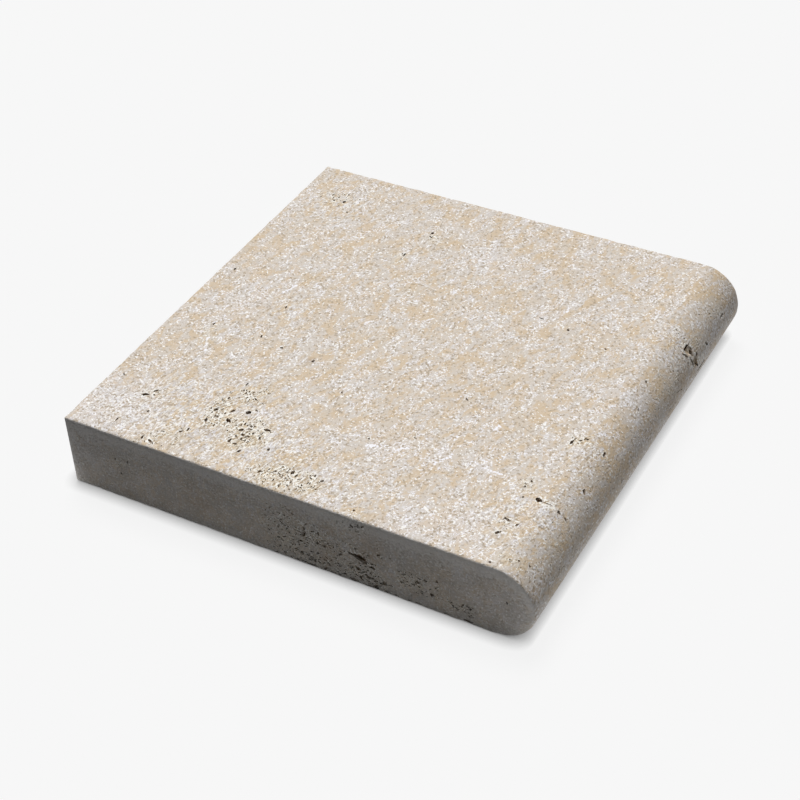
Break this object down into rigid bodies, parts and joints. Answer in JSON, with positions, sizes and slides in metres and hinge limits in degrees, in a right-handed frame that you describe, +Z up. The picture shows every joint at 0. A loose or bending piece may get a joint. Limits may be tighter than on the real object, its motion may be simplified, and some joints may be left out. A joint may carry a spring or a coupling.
{
  "type": "pool coping stone",
  "caption": "Square natural stone paver with one side turned to a full round nose, for the rim of a swimming pool; open voids show in its faces.",
  "frame": {"origin": "centre of the bed, on the plane that lies on the mortar", "axes": "+X out of the round nose towards the pool, +Y along the pool edge, +Z up out of the walking face"},
  "size_m": [0.305, 0.305, 0.05],
  "materials": {
    "travertine": "brushed cream travertine, sawn ends, open natural voids"
  },
  "bodies": {
    "root": {"coping_stone": "travertine"}
  },
  "joints": []
}
